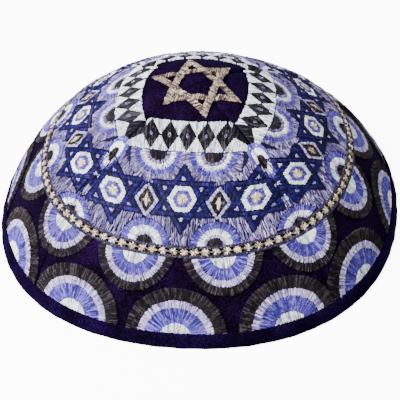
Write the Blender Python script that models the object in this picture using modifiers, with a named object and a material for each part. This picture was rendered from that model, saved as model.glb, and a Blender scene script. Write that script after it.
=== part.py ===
"""A velvet skullcap with embroidered gores, a couched metallic braid and a star on its crown.

The cap stands on its rim. The floor is z = 0, the cap's axis is z and the front gore faces -Y.
A piece is drawn in the cloth's own measures first: an angle round the cap, 0 at the front and
growing towards +X, a run down the velvet from the crown, and a lift off the velvet. The function
on_cap then lays it on the cap. Sizes are in metres and angles in radians, unless a name says so.
"""

import bisect
import math
from typing import NamedTuple

import bmesh
import bpy
from mathutils import Vector

# Driving dimensions of the crown
RIM_RADIUS = 0.0890
CROWN_HEIGHT = 0.0657
CLOTH = 0.0016
SQUARENESS = 0.018
GORES = ("front", "right", "back", "left")

# Clearances between pieces that are sewn against each other
GAP = 0.0003
SEAM_GAP = 0.0005

# Velvet tape folded round the hem
BINDING_WIDTH = 0.0068
BINDING_TURN_UP = 0.0058
BINDING_TAPE = 0.0008
BINDING_ROLL = 0.0008

# Braid with a cord along each edge
BRAID_PLACE = 0.659
BRAID_WIDTH = 0.0020
BRAID_HEIGHT = 0.0016
CORD_RADIUS = 0.0004

# Raised embroidery
THREAD = 0.0005
MEDALLION_RUN = 0.0229
MEDALLION_BOW = 0.44
SCALLOPS = 12
RIM_SCALLOP_SPACE = 0.0040
HANGING_SCALLOP_SPACE = 0.0062
SCALLOP_CLEARANCE = 0.0012

# Star on the crown
STAR_MARGIN = 0.0015
STAR_BAR = 0.0037
STAR_THICKNESS = 0.0009
STAR_TURN = math.radians(14.5)
STAR_OPEN_TIPS = (0, 1, 3, 4)
STAR_FOLD_LENGTH = 0.006

# Facets
GORE_COLUMNS = 16
GORE_ROWS = 12
EMBROIDERY_ROWS = 5
MERIDIAN_STEPS = 240
MERGE = 1e-6
SMOOTH_ANGLE = math.radians(40)


class Bend(NamedTuple):
    """The velvet's slope from level, at a share of its run from crown to floor."""

    share: float
    slope_degrees: float


BENDS = (
    Bend(share=0.000, slope_degrees=0.0),
    Bend(share=0.125, slope_degrees=12.0),
    Bend(share=0.250, slope_degrees=24.0),
    Bend(share=0.375, slope_degrees=33.5),
    Bend(share=0.500, slope_degrees=38.0),
    Bend(share=0.600, slope_degrees=41.0),
    Bend(share=0.700, slope_degrees=45.0),
    Bend(share=0.780, slope_degrees=50.0),
    Bend(share=0.870, slope_degrees=58.0),
    Bend(share=0.930, slope_degrees=65.0),
    Bend(share=1.000, slope_degrees=69.0),
)


class Station(NamedTuple):
    """A place on the velvet's meridian."""

    run: float
    radius: float
    height: float
    slope: float


class Finish(NamedTuple):
    """A piece's plain colour and how it reflects."""

    name: str
    colour: tuple
    roughness: float
    metallic: float


VELVET = Finish("velvet", (0.012, 0.006, 0.055), 0.95, 0.0)
BINDING_VELVET = Finish("binding_velvet", (0.016, 0.008, 0.085), 0.90, 0.0)
FIELD_THREAD = Finish("field_thread", (0.36, 0.36, 0.60), 0.55, 0.0)
SCALLOP_THREAD = Finish("scallop_thread", (0.20, 0.20, 0.46), 0.55, 0.0)
METAL_THREAD = Finish("metal_thread", (0.62, 0.54, 0.42), 0.35, 0.8)
CORD_THREAD = Finish("cord_thread", (0.02, 0.02, 0.05), 0.60, 0.0)


def slope_at_share(share):
    """Slope of the unscaled meridian, read between the rows of the bend table."""
    last = len(BENDS) - 1
    upper = min(max(bisect.bisect_right([bend.share for bend in BENDS], share), 1), last)
    above, below = BENDS[upper - 1], BENDS[upper]
    part = (share - above.share) / (below.share - above.share)
    return math.radians(above.slope_degrees + part * (below.slope_degrees - above.slope_degrees))


def meridian_stations():
    """The meridian from crown to floor: the bend table summed up and fitted to rim and height."""
    outward, downward = [0.0], [0.0]
    for step in range(MERIDIAN_STEPS):
        slope = slope_at_share((step + 0.5) / MERIDIAN_STEPS)
        outward.append(outward[-1] + math.cos(slope))
        downward.append(downward[-1] + math.sin(slope))
    radii = [RIM_RADIUS * value / outward[-1] for value in outward]
    heights = [CROWN_HEIGHT * (1 - value / downward[-1]) for value in downward]
    stations = []
    run = 0.0
    for step in range(MERIDIAN_STEPS + 1):
        before, after = max(step - 1, 0), min(step + 1, MERIDIAN_STEPS)
        slope = math.atan2(heights[before] - heights[after], radii[after] - radii[before])
        stations.append(Station(run, radii[step], heights[step], slope))
        if step < MERIDIAN_STEPS:
            run += math.hypot(radii[step + 1] - radii[step], heights[step + 1] - heights[step])
    return stations


MERIDIAN = meridian_stations()
MERIDIAN_RUNS = [station.run for station in MERIDIAN]
MERIDIAN_DROPS = [-station.height for station in MERIDIAN]
FLOOR_RUN = MERIDIAN_RUNS[-1]


def between_stations(index, part):
    """The station a part of the way from one station to the next."""
    pairs = zip(MERIDIAN[index], MERIDIAN[index + 1])
    return Station(*(first + part * (second - first) for first, second in pairs))


def station_at(values, wanted):
    """The station where an increasing list of the meridian's values reaches the wanted one."""
    index = min(max(bisect.bisect_right(values, wanted) - 1, 0), len(MERIDIAN) - 2)
    return between_stations(index, (wanted - values[index]) / (values[index + 1] - values[index]))


def squared(radius, angle):
    """A plan radius pushed out at the four seams and pulled in at the gores' centres."""
    reach = math.sqrt(max(radius, 0.0) / RIM_RADIUS)
    return radius * (1 - SQUARENESS * reach * math.cos(len(GORES) * angle))


def plan_point(angle, radius, height):
    """A point at an angle and a plan radius on the squared cap."""
    reach = squared(radius, angle)
    return Vector((reach * math.sin(angle), -reach * math.cos(angle), height))


def on_cap(angle, run, lift):
    """A point at an angle and a run down the velvet, lifted off it along its normal."""
    place = station_at(MERIDIAN_RUNS, run)
    radius = place.radius + lift * math.sin(place.slope)
    return plan_point(angle, radius, place.height + lift * math.cos(place.slope))


def beside_velvet(angle, height, lift):
    """A point at a height, level with the velvet there and lifted off it."""
    place = station_at(MERIDIAN_DROPS, -height)
    return plan_point(angle, place.radius + lift / math.sin(place.slope), height)


def seam_half_angle(run):
    """Half the angle of a gore at a run, short of its seams by half their gap."""
    radius = station_at(MERIDIAN_RUNS, run).radius
    return math.pi / len(GORES) - math.asin(min(SEAM_GAP / 2 / radius, 1.0))


def bowed(angle, run):
    """A row's run at an angle from the gore's centre: rows near the crown sag at the seams."""
    share = max(1 - run / braid_run(), 0.0)
    return run * math.cos(angle) ** (-MEDALLION_BOW * math.sqrt(share / (1 - MEDALLION_RUN / braid_run())))


def braid_run():
    """Run to the middle of the braid."""
    return BRAID_PLACE * FLOOR_RUN


def braid_half_band():
    """Half the width of the braid and its two cords, with their clearances."""
    return BRAID_WIDTH / 2 + GAP + 2 * CORD_RADIUS


def binding_top_run():
    """Run to the upper edge of the binding."""
    return FLOOR_RUN - BINDING_WIDTH


def principled(finish):
    """A material with the finish's colour, roughness and metallic value."""
    material = bpy.data.materials.get(finish.name) or bpy.data.materials.new(finish.name)
    material.use_nodes = True
    shader = material.node_tree.nodes["Principled BSDF"]
    shader.inputs["Base Color"].default_value = (*finish.colour, 1.0)
    shader.inputs["Roughness"].default_value = finish.roughness
    shader.inputs["Metallic"].default_value = finish.metallic
    material.diffuse_color = (*finish.colour, 1.0)
    return material


def grid_mesh(name, columns, rows, place):
    """A grid laid out by a function of the shares along its columns and rows."""
    sheet = bmesh.new()
    bmesh.ops.create_grid(sheet, x_segments=columns, y_segments=rows, size=0.5)
    for vertex in sheet.verts:
        vertex.co = place(vertex.co.x + 0.5, vertex.co.y + 0.5)
    bmesh.ops.remove_doubles(sheet, verts=sheet.verts, dist=MERGE)
    mesh = bpy.data.meshes.new(name)
    sheet.to_mesh(mesh)
    sheet.free()
    return mesh


def add_piece(name, data, finish, home, wall=None, even=False, turn=0.0):
    """An object for a piece, with a wall below its outer face if it has one."""
    piece = bpy.data.objects.new(name, data)
    home["collection"].objects.link(piece)
    piece.parent = home["origin"]
    piece.rotation_euler.z = turn
    if not data.materials:
        data.materials.append(principled(finish))
    if isinstance(data, bpy.types.Mesh):
        data.shade_smooth()
        data.set_sharp_from_angle(angle=SMOOTH_ANGLE)
    if wall:
        solid = piece.modifiers.new("wall", "SOLIDIFY")
        solid.thickness = wall
        solid.offset = -1
        solid.use_even_offset = even
    return piece


def make_panels(home):
    """Four velvet gores, one mesh turned to each side."""
    tip_run = SEAM_GAP / math.sqrt(2)
    # The wall's inner edge hangs lower than its outer one, and clears the tape's rolled corner
    hem_height = BINDING_TAPE + 2 * GAP + CLOTH * math.cos(MERIDIAN[-1].slope)
    hem = station_at(MERIDIAN_DROPS, -hem_height).run

    def place(across, up):
        run = hem + up * (tip_run - hem)
        return on_cap((2 * across - 1) * seam_half_angle(run), run, 0.0)

    mesh = grid_mesh("gore", GORE_COLUMNS, GORE_ROWS, place)
    for number, side in enumerate(GORES):
        turn = number * 2 * math.pi / len(GORES)
        add_piece(f"panel_{side}", mesh, VELVET, home, wall=CLOTH, turn=turn)


def make_embroidery(home):
    """The raised embroidered field of each gore, from the bare centre down to the braid."""
    bottom = braid_run() - braid_half_band() - GAP

    def place(across, up):
        angle = (2 * across - 1) * seam_half_angle(MEDALLION_RUN)
        run = bottom + up * (bowed(angle, MEDALLION_RUN) - bottom)
        return on_cap((2 * across - 1) * seam_half_angle(run), run, GAP + THREAD)

    mesh = grid_mesh("embroidered_field", GORE_COLUMNS, EMBROIDERY_ROWS, place)
    for number, side in enumerate(GORES):
        turn = number * 2 * math.pi / len(GORES)
        add_piece(f"embroidery_{side}", mesh, FIELD_THREAD, home, wall=THREAD, turn=turn)


def make_binding(home):
    """Velvet tape round the hem: up inside the cap, flat under it and up outside."""
    outside = GAP + BINDING_TAPE
    inside = -(CLOTH + GAP + BINDING_TAPE)
    top = station_at(MERIDIAN_RUNS, binding_top_run()).height
    section = (
        (BINDING_TURN_UP, inside),
        (BINDING_ROLL, inside),
        (0.0, inside + BINDING_ROLL),
        (0.0, outside - BINDING_ROLL),
        (BINDING_ROLL, outside),
        (top, outside),
    )

    def place(around, across):
        height, lift = section[round(across * (len(section) - 1))]
        return beside_velvet(around * 2 * math.pi, height, lift)

    mesh = grid_mesh("binding", GORE_COLUMNS * len(GORES), len(section) - 1, place)
    add_piece("rim_binding", mesh, BINDING_VELVET, home, wall=BINDING_TAPE, even=True)


def make_braid(home):
    """The metallic plait as one flat oval ring."""
    sides = 6

    def place(around, across):
        turn = across * 2 * math.pi
        run = braid_run() - BRAID_WIDTH / 2 * math.cos(turn)
        return on_cap(around * 2 * math.pi, run, GAP + BRAID_HEIGHT / 2 * (1 - math.sin(turn)))

    mesh = grid_mesh("plait", GORE_COLUMNS * len(GORES), sides, place)
    add_piece("braid", mesh, METAL_THREAD, home)


def make_edge_cords(home):
    """A thin round cord above the braid and one below it."""
    points = GORE_COLUMNS * len(GORES)
    offset = braid_half_band() - CORD_RADIUS
    for name, run in (("upper", braid_run() - offset), ("lower", braid_run() + offset)):
        curve = bpy.data.curves.new(f"cord_{name}", "CURVE")
        curve.dimensions = "3D"
        curve.bevel_depth = CORD_RADIUS
        curve.bevel_resolution = 1
        line = curve.splines.new("POLY")
        line.points.add(points - 1)
        for number, point in enumerate(line.points):
            angle = number * 2 * math.pi / points
            point.co = (*on_cap(angle, run, GAP + CORD_RADIUS), 1.0)
        line.use_cyclic_u = True
        add_piece(f"edge_cord_{name}", curve, CORD_THREAD, home)


def scallop_pitch(run):
    """Length round the cap from one scallop to the next at a run."""
    return 2 * math.pi * station_at(MERIDIAN_RUNS, run).radius / SCALLOPS


def half_round(name, angle, run, radius, hangs, rings, spokes, home):
    """A half-round pad on a straight edge at a run, hanging below it or standing above it."""
    centre = station_at(MERIDIAN_RUNS, run)

    def place(spoke, ring):
        reach = ring * radius
        turn = spoke * math.pi
        down = reach * math.sin(turn) * (1 if hangs else -1)
        across = reach * math.cos(turn) * (1 if hangs else -1)
        level = station_at(MERIDIAN_RUNS, run + down / 2)
        return on_cap(angle + across / max(level.radius, centre.radius / 2), run + down, GAP + THREAD)

    mesh = grid_mesh(name, spokes, rings, place)
    add_piece(name, mesh, SCALLOP_THREAD, home, wall=THREAD)


def make_scallops(home):
    """Twelve pads hanging from the braid and twelve standing on the binding, half a pitch on."""
    hanging_run = braid_run() + braid_half_band() + GAP
    rim_run = binding_top_run() - GAP
    rim_radius = (scallop_pitch(rim_run) - RIM_SCALLOP_SPACE) / 2
    beside = (scallop_pitch(hanging_run) + scallop_pitch(rim_run)) / 4
    diagonal = math.hypot(beside, rim_run - hanging_run)
    hanging_radius = min(
        (scallop_pitch(hanging_run) - HANGING_SCALLOP_SPACE) / 2,
        diagonal - rim_radius - SCALLOP_CLEARANCE,
    )
    for number in range(SCALLOPS):
        angle = number * 2 * math.pi / SCALLOPS
        label = f"{number + 1:02d}"
        half_round(f"rim_scallop_{label}", angle, rim_run, rim_radius, False, 3, 10, home)
        angle += math.pi / SCALLOPS
        half_round(f"hanging_scallop_{label}", angle, hanging_run, hanging_radius, True, 2, 8, home)


def star_loops(radius):
    """Outline of a six-pointed star of crossed bars, with its middle and its open tips cut out."""
    apothem = radius / 2
    notch = radius / math.sqrt(3)
    outline = []
    for corner in range(12):
        outline.append((radius if corner % 2 == 0 else notch, corner * math.pi / 6))
    middle_reach = (apothem - STAR_BAR) / math.cos(math.pi / 6)
    middle = [(middle_reach, (corner + 0.5) * math.pi / 3) for corner in range(6)]
    loops = [outline, middle]
    tip_top = radius - 2 * STAR_BAR
    half_base = (tip_top - apothem) * math.tan(math.pi / 6)
    for tip in STAR_OPEN_TIPS:
        turn = tip * math.pi / 3
        base_reach = math.hypot(apothem, half_base)
        base_turn = math.atan2(half_base, apothem)
        loops.append([(tip_top, turn), (base_reach, turn + base_turn), (base_reach, turn - base_turn)])
    return loops


def make_star(home):
    """The star's flat outline, folded finely and laid on the crown."""
    radius = MEDALLION_RUN - STAR_MARGIN
    outline = bpy.data.curves.new("star_outline", "CURVE")
    outline.dimensions = "2D"
    outline.fill_mode = "BOTH"
    for loop in star_loops(radius):
        line = outline.splines.new("POLY")
        line.points.add(len(loop) - 1)
        for point, (reach, turn) in zip(line.points, loop):
            point.co = (reach * math.cos(turn), reach * math.sin(turn), 0.0, 1.0)
        line.use_cyclic_u = True
    flat = bpy.data.objects.new("star_outline", outline)
    home["collection"].objects.link(flat)
    graph = bpy.context.evaluated_depsgraph_get()
    mesh = bpy.data.meshes.new_from_object(flat.evaluated_get(graph))
    bpy.data.objects.remove(flat)

    sheet = bmesh.new()
    sheet.from_mesh(mesh)
    bmesh.ops.remove_doubles(sheet, verts=sheet.verts, dist=MERGE)
    folds = math.floor(radius / STAR_FOLD_LENGTH)
    for normal in (Vector((1, 0, 0)), Vector((0, 1, 0))):
        for fold in range(-folds, folds + 1):
            geometry = sheet.verts[:] + sheet.edges[:] + sheet.faces[:]
            where = normal * fold * STAR_FOLD_LENGTH
            bmesh.ops.bisect_plane(sheet, geom=geometry, dist=MERGE, plane_co=where, plane_no=normal)
    for face in sheet.faces:
        if face.normal.z < 0:
            face.normal_flip()
    for vertex in sheet.verts:
        angle = math.atan2(vertex.co.y, vertex.co.x) + STAR_TURN
        vertex.co = on_cap(angle, math.hypot(vertex.co.x, vertex.co.y), GAP + STAR_THICKNESS)
    sheet.to_mesh(mesh)
    sheet.free()
    add_piece("crown_star", mesh, METAL_THREAD, home, wall=STAR_THICKNESS)


def main():
    """Clear the scene and build the cap."""
    for leftover in list(bpy.data.objects):
        bpy.data.objects.remove(leftover)
    collection = bpy.data.collections.new("skullcap")
    bpy.context.scene.collection.children.link(collection)
    origin = bpy.data.objects.new("skullcap_origin", None)
    collection.objects.link(origin)
    home = {"collection": collection, "origin": origin}
    make_panels(home)
    make_embroidery(home)
    make_binding(home)
    make_braid(home)
    make_edge_cords(home)
    make_scallops(home)
    make_star(home)


main()
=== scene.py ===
"""Looks of an embroidered velvet skullcap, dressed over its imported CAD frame.

The cap is sewn from four velvet gores. Places on it are given in cloth coordinates: the angle
round the cap (0 at the front, -Y, and growing towards +X), the run down the velvet from the
crown, and the lift off the velvet. Lengths are in millimetres until a mesh is written.
"""

import logging
import math
from dataclasses import dataclass
from dataclasses import field
from enum import Enum
from functools import cached_property
from typing import Callable
from typing import ClassVar

import bmesh
import bpy
import numpy as np
from mathutils import Matrix
from mathutils import Vector


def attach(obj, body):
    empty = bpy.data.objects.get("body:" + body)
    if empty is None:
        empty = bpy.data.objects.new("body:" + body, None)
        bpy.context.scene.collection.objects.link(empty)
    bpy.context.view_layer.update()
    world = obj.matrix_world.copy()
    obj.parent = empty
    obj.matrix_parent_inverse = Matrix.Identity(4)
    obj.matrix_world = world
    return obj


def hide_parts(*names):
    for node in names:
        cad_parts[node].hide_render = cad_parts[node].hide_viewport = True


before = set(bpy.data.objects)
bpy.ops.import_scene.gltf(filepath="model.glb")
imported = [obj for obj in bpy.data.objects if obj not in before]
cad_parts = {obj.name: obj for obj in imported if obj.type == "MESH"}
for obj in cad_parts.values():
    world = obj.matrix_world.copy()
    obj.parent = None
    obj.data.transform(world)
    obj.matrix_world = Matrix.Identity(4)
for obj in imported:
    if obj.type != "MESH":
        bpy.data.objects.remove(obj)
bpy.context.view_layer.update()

MM = 0.001
QUARTER = math.pi / 2
GORES = ("front", "right", "back", "left")
BODY = "root"
TINY = 1e-6
MERGED = 1e-7

log = logging.getLogger("skullcap")

Array = np.ndarray
Chance = np.random.Generator
Piece = bpy.types.Object
Socket = bpy.types.NodeSocket
Colour = tuple[float, float, float]
Allowed = Callable[[Array, Array], Array]
Inputs = dict[str | int, object]


def linear(shade: Colour) -> tuple[float, float, float, float]:
    """Turn a display shade into the linear colour that a shader socket takes.

    Args:
        shade: Red, green and blue from 0 to 255, on the sRGB curve.

    Returns:
        Linear red, green, blue and an alpha of 1.
    """
    shares = [value / 255 for value in shade]
    red, green, blue = (v / 12.92 if v <= 0.04045 else ((v + 0.055) / 1.055) ** 2.4 for v in shares)
    return (red, green, blue, 1.0)


def wire(tree: bpy.types.NodeTree, node: bpy.types.Node, inputs: Inputs) -> None:
    """Set a node's inputs, or link other nodes' outputs to them.

    Args:
        tree: The tree that the node is in.
        node: The node.
        inputs: A constant value or an output for each input, by its name or number.
    """
    for key, value in inputs.items():
        if isinstance(value, Socket):
            tree.links.new(value, node.inputs[key])
        else:
            node.inputs[key].default_value = value


def piped(tree: bpy.types.NodeTree, kind: str, inputs: Inputs) -> Socket:
    """Add a node of a kind with its inputs, and give its first output."""
    node = tree.nodes.new(kind)
    wire(tree, node, inputs)
    return node.outputs[0]


def round_cap(reach: Array, angle: Array, level: Array) -> Array:
    """Points at a reach from the cap's axis, an angle round it and a level."""
    return np.stack([reach * np.sin(angle), -reach * np.cos(angle), level], axis=-1)


@dataclass(frozen=True)
class CapCloth:
    """The outer face of the cap's velvet, which every piece is laid on."""

    rim_radius: float = 89.0
    crown_height: float = 65.7
    squareness: float = 0.018
    bends: tuple[tuple[float, float], ...] = (
        (0.0, 0.0),
        (0.125, 12.0),
        (0.25, 24.0),
        (0.375, 33.5),
        (0.5, 38.0),
        (0.6, 41.0),
        (0.7, 45.0),
        (0.78, 50.0),
        (0.87, 58.0),
        (0.93, 65.0),
        (1.0, 69.0),
    )
    steps: int = 240
    medallion_run: float = 22.9
    medallion_bow: float = 0.44
    braid_run: float = 76.53
    seam_dip: float = 0.9
    seam_dip_reach: float = 1.4
    pucker: float = 0.16
    pucker_length: float = 7.5
    pucker_drift: float = 3.0
    pucker_reach: float = 6.0
    crown_share: float = 0.3
    crown_run: float = 6.0
    calm_from: float = 100.0
    calm_to: float = 108.0

    @cached_property
    def meridian(self) -> Array:
        """Rows of run, radius, height and slope, from the crown down to the floor."""
        shares = (np.arange(self.steps) + 0.5) / self.steps
        table = np.array(self.bends)
        slopes = np.radians(np.interp(shares, table[:, 0], table[:, 1]))
        radii = np.concatenate([[0.0], np.cumsum(np.cos(slopes))])
        downs = np.concatenate([[0.0], np.cumsum(np.sin(slopes))])
        radii *= self.rim_radius / radii[-1]
        heights = self.crown_height * (1 - downs / downs[-1])
        steps = np.hypot(np.diff(radii), np.diff(heights))
        runs = np.concatenate([[0.0], np.cumsum(steps)])
        tilts = np.arctan2(-np.gradient(heights), np.gradient(radii))
        return np.stack([runs, radii, heights, tilts])

    def radius(self, run: Array) -> Array:
        """The velvet's plain radius at a run."""
        return np.interp(run, self.meridian[0], self.meridian[1])

    def slope(self, run: Array) -> Array:
        """The velvet's slope below the horizontal at a run."""
        return np.interp(run, self.meridian[0], self.meridian[3])

    def squared(self, radius: Array, angle: Array) -> Array:
        """Draw a radius in a little at the gores' centres and out at the seams.

        Args:
            radius: The plain radius.
            angle: The angle round the cap.

        Returns:
            The radius on the slightly squared plan.
        """
        reach = np.sqrt(np.clip(radius, 0, None) / self.rim_radius)
        return radius * (1 - self.squareness * reach * np.cos(len(GORES) * angle))

    def relief(self, angle: Array, run: Array) -> Array:
        """Pull the cloth in along the seams and pucker it beside them.

        Args:
            angle: The angle round the cap.
            run: The run down the velvet.

        Returns:
            The lift that the sewing gives the cloth, negative in the seams.
        """
        aside = np.mod(angle + QUARTER / 2, QUARTER)
        aside = np.minimum(aside, QUARTER - aside) * self.radius(run)
        dip = -self.seam_dip * np.exp(-((aside / self.seam_dip_reach) ** 2))
        drift = self.pucker_drift * np.sin(2 * angle)
        wave = np.sin(2 * math.pi * run / self.pucker_length + drift)
        pucker = self.pucker * wave * np.exp(-((aside / self.pucker_reach) ** 2))
        calm = np.clip((self.calm_to - run) / (self.calm_to - self.calm_from), 0, 1)
        near_crown = np.clip(run / self.crown_run, self.crown_share, 1)
        return (dip + pucker) * calm * near_crown

    def place(self, angle: Array, run: Array, lift: Array | float) -> Array:
        """Find the point at an angle, a run and a lift.

        Args:
            angle: The angle round the cap.
            run: The run down the velvet.
            lift: The height off the velvet.

        Returns:
            Points in millimetres, with x, y, z on the last axis.
        """
        rise = lift + self.relief(angle, run)
        slope = self.slope(run)
        height = np.interp(run, self.meridian[0], self.meridian[2])
        reach = self.squared(self.radius(run) + rise * np.sin(slope), angle)
        return round_cap(reach, angle, height + rise * np.cos(slope))

    def beside(self, angle: Array, height: Array, lift: Array) -> Array:
        """Find the point at a level height, pushed out level from the velvet.

        Args:
            angle: The angle round the cap.
            height: The height over the floor.
            lift: The distance off the velvet.

        Returns:
            Points in millimetres.
        """
        run = np.interp(-height, -self.meridian[2], self.meridian[0])
        reach = self.squared(self.radius(run) + lift / np.sin(self.slope(run)), angle)
        return round_cap(reach, angle, height)

    def outward(self, angle: Array, run: Array) -> Array:
        """The direction straight out of the velvet."""
        slope = self.slope(run)
        return round_cap(np.sin(slope), angle, np.cos(slope))

    def bowed(self, turn: Array, run: Array) -> Array:
        """Sag a straight row of the pattern towards the seams, as the gores do.

        Args:
            turn: The angle from the gore's centre.
            run: The run of the row at the gore's centre.

        Returns:
            The run of the row at that angle.
        """
        room = 1 - self.medallion_run / self.braid_run
        share = np.sqrt(np.clip((1 - run / self.braid_run) / room, 0, None))
        return run * np.cos(turn) ** (-self.medallion_bow * share)


class Recipe:
    """A material in the making."""

    def __init__(self, name: str) -> None:
        """Start the material with its shader alone."""
        self.material = bpy.data.materials.new(name)
        self.material.use_nodes = True
        self.tree = self.material.node_tree

    def noise(self, scale: float, detail: int) -> Socket:
        """Noise over the piece, in the piece's own coordinates."""
        place = self.tree.nodes.new("ShaderNodeTexCoord").outputs["Object"]
        inputs = {"Vector": place, "Scale": scale, "Detail": detail}
        return piped(self.tree, "ShaderNodeTexNoise", inputs)

    def ramp(self, by: Socket, stops: tuple) -> Socket:
        """Turn a value into a shade, by three stops of a place and a shade each."""
        node = self.tree.nodes.new("ShaderNodeValToRGB")
        wire(self.tree, node, {"Fac": by})
        node.color_ramp.elements.new(0.5)
        for element, (place, shade) in zip(node.color_ramp.elements, stops):
            element.position = place
            element.color = linear(shade)
        return node.outputs["Color"]

    def bump(self, height: Socket, strength: float, depth: float) -> Socket:
        """Turn a height into a bumped normal."""
        inputs = {"Height": height, "Strength": strength, "Distance": depth}
        return piped(self.tree, "ShaderNodeBump", inputs)

    def finished(self, inputs: Inputs) -> bpy.types.Material:
        """Set the shader's inputs and give the material."""
        wire(self.tree, self.tree.nodes["Principled BSDF"], inputs)
        return self.material


@dataclass(frozen=True)
class ThreadFinish:
    """The finish of one dyed embroidery thread, with three shades of its dye lot."""

    deep: Colour
    middle: Colour
    light: Colour
    roughness: float = 0.5
    metallic: float = 0.0
    gloss: float = 0.3
    fibre_scale: float = 2600.0
    fibre_detail: int = 2
    fibre_bump: float = 0.25
    fibre_depth: float = 0.0002

    def dress(self, name: str) -> bpy.types.Material:
        """Make the thread's material.

        Args:
            name: The material's name.

        Returns:
            The material, whose shade follows each stitch's tint.
        """
        recipe = Recipe(name)
        tint = recipe.tree.nodes.new("ShaderNodeAttribute")
        tint.attribute_name = "tint"
        stops = ((0.0, self.deep), (0.5, self.middle), (1.0, self.light))
        fibre = recipe.noise(self.fibre_scale, self.fibre_detail)
        return recipe.finished(
            {
                "Base Color": recipe.ramp(tint.outputs["Fac"], stops),
                "Normal": recipe.bump(fibre, self.fibre_bump, self.fibre_depth),
                "Roughness": self.roughness,
                "Metallic": self.metallic,
                "Specular IOR Level": self.gloss,
            }
        )


class Thread(Enum):
    """The threads of the embroidery."""

    WHITE = ThreadFinish((126, 130, 152), (212, 220, 230), (252, 255, 255))
    LAVENDER = ThreadFinish((26, 18, 98), (65, 53, 145), (120, 108, 197))
    LILAC = ThreadFinish((72, 64, 112), (154, 146, 190), (216, 210, 240))
    MAUVE = ThreadFinish((24, 19, 54), (92, 82, 132), (176, 166, 202))
    CHARCOAL = ThreadFinish((4, 2, 5), (19, 15, 19), (62, 54, 60), gloss=0.1)
    JET = ThreadFinish((2, 2, 5), (12, 11, 15), (66, 62, 72), gloss=0.12)
    ROYAL = ThreadFinish((1, 0, 18), (8, 1, 58), (48, 34, 136), gloss=0.15)
    # Navy is laid only as dark lines of painted shade between scallop rings and along the star bars' edges.
    NAVY = ThreadFinish((2, 1, 12), (4, 2, 30), (18, 14, 70), gloss=0.1)
    DUSK = ThreadFinish((4, 3, 12), (28, 23, 42), (96, 86, 116), gloss=0.15)
    CREAM = ThreadFinish((60, 46, 40), (184, 164, 142), (252, 246, 230))
    GILT = ThreadFinish((46, 32, 18), (146, 120, 78), (244, 226, 178), 0.34, 0.5)
    SILVER = ThreadFinish((52, 50, 56), (150, 144, 146), (244, 240, 232), 0.34, 0.5)
    CHAMPAGNE = ThreadFinish((16, 11, 14), (88, 72, 70), (226, 206, 182), 0.4, 0.4)

    @property
    def material(self) -> bpy.types.Material:
        """The thread's material, made once."""
        name = f"{self.name.lower()}_thread"
        return bpy.data.materials.get(name) or self.value.dress(name)


@dataclass(frozen=True)
class PileFinish:
    """The finish of velvet: a dark pile whose tips catch the light, the lightest shade being painted
    highlight on the pile's tips.
    """

    name: str
    deep: Colour
    middle: Colour
    # The tips shade is painted highlight on the pile.
    tips: Colour
    stops: tuple[float, float, float] = (0.42, 0.66, 0.92)
    roughness: float = 0.9
    gloss: float = 0.02
    sheen: float = 0.03
    sheen_roughness: float = 0.45
    sheen_tint: Colour = (96, 30, 220)
    fleck_scale: float = 1700.0
    fleck_detail: int = 3
    crush_scale: float = 90.0
    crush_detail: int = 2
    crush_share: float = 0.35
    bump: float = 0.5
    bump_depth: float = 0.0004

    def dress(self) -> bpy.types.Material:
        """Make the velvet's material, once."""
        known = bpy.data.materials.get(self.name)
        if known:
            return known
        recipe = Recipe(self.name)
        fleck = recipe.noise(self.fleck_scale, self.fleck_detail)
        crush = recipe.noise(self.crush_scale, self.crush_detail)
        blend = recipe.tree.nodes.new("ShaderNodeMath")
        blend.operation = "MULTIPLY_ADD"
        wire(recipe.tree, blend, {0: crush, 1: self.crush_share, 2: fleck})
        stops = tuple(zip(self.stops, (self.deep, self.middle, self.tips)))
        return recipe.finished(
            {
                "Base Color": recipe.ramp(blend.outputs["Value"], stops),
                "Normal": recipe.bump(fleck, self.bump, self.bump_depth),
                "Roughness": self.roughness,
                "Specular IOR Level": self.gloss,
                "Sheen Weight": self.sheen,
                "Sheen Roughness": self.sheen_roughness,
                "Sheen Tint": linear(self.sheen_tint),
            }
        )


# The third shade of each velvet is painted highlight on its pile's tips.
VELVET = PileFinish("indigo_pile", (1, 0, 2), (4, 0, 7), (27, 5, 50))
BINDING_VELVET = PileFinish("binding_pile", (1, 0, 4), (4, 0, 13), (24, 4, 60))
GROUND = PileFinish("dark_ground", (6, 5, 18), (18, 15, 38), (44, 38, 74), sheen=0.0)


def mesh_object(name: str, points: Array, faces: list, smooth: bool = True) -> Piece:
    """Make an object at the origin from points in millimetres.

    Args:
        name: The piece's name.
        points: The points, one row each.
        faces: The faces, as tuples of point numbers.
        smooth: Whether the faces are shaded smooth.

    Returns:
        The new object, linked to the scene.
    """
    mesh = bpy.data.meshes.new(name)
    mesh.from_pydata((np.asarray(points).reshape(-1, 3) * MM).tolist(), [], faces)
    mesh.update()
    if smooth and faces:
        mesh.shade_smooth()
    piece = bpy.data.objects.new(name, mesh)
    bpy.context.scene.collection.objects.link(piece)
    return piece


def closed_object(name: str, points: Array, faces: list, material: bpy.types.Material) -> Piece:
    """Make a closed piece in one material, its doubles merged and its faces turned outwards."""
    piece = mesh_object(name, points, faces)
    shell = bmesh.new()
    shell.from_mesh(piece.data)
    bmesh.ops.remove_doubles(shell, verts=shell.verts, dist=MERGED)
    bmesh.ops.recalc_face_normals(shell, faces=shell.faces)
    shell.to_mesh(piece.data)
    shell.free()
    piece.data.materials.append(material)
    return piece


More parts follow.
